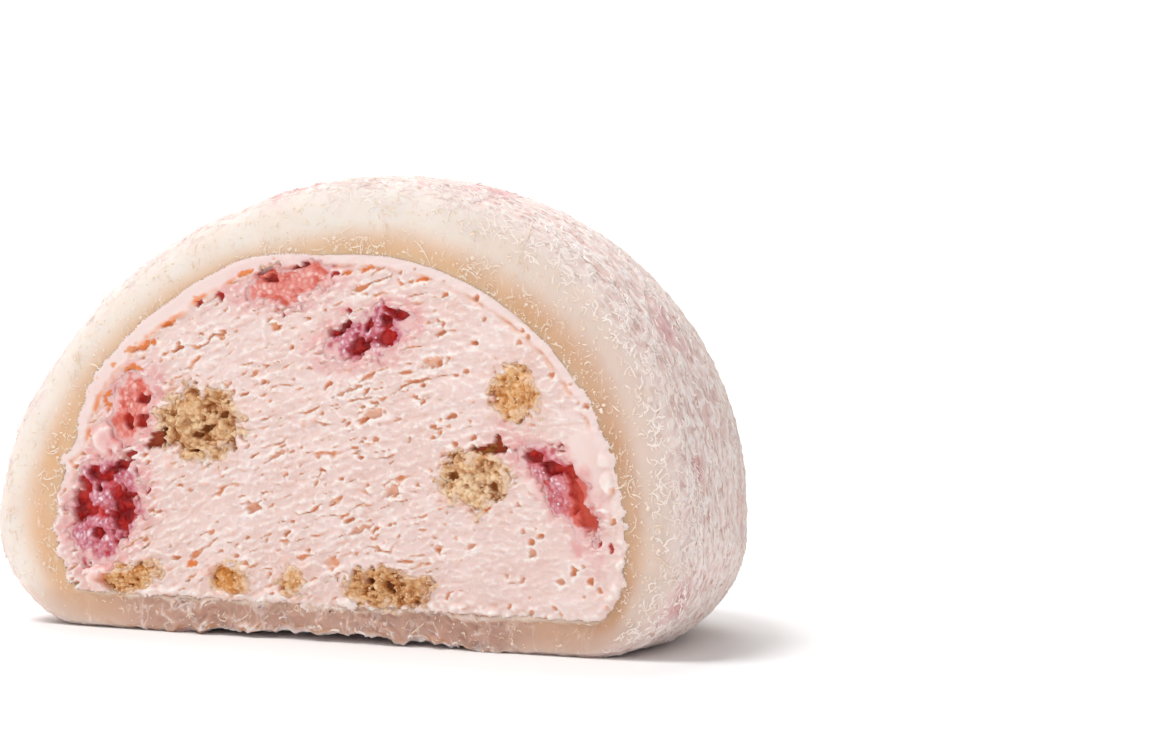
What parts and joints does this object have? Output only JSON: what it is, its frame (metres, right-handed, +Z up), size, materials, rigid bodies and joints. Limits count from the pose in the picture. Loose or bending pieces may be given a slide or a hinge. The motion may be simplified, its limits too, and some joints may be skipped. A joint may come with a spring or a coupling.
{
  "type": "halved mochi ice cream",
  "caption": "Half of a mochi ice cream lying on its flat foot: thick soft rice-dough skin round pink strawberry ice cream with fruit and biscuit pieces at the cut.",
  "frame": {"origin": "middle of the half's footprint, on the level of its flat foot", "axes": "+Z up; the cut face looks along -Y and +X is to its right as one faces it, along the cut's width"},
  "size_m": [0.045, 0.024, 0.0265],
  "materials": {
    "rice_dough": "matte",
    "ice_cream": "matte",
    "strawberry": "satin",
    "biscuit": "matte"
  },
  "bodies": {
    "root": {"dough_skin": "rice_dough", "ice_cream": "ice_cream", "strawberry_left_low": "strawberry", "strawberry_left_high": "strawberry", "strawberry_top": "strawberry", "strawberry_centre": "strawberry", "strawberry_right": "strawberry", "biscuit_left": "biscuit", "biscuit_right_high": "biscuit", "biscuit_right_low": "biscuit", "biscuit_foot_far_left": "biscuit", "biscuit_foot_left": "biscuit", "biscuit_foot_middle": "biscuit", "biscuit_foot_right": "biscuit"}
  },
  "joints": []
}
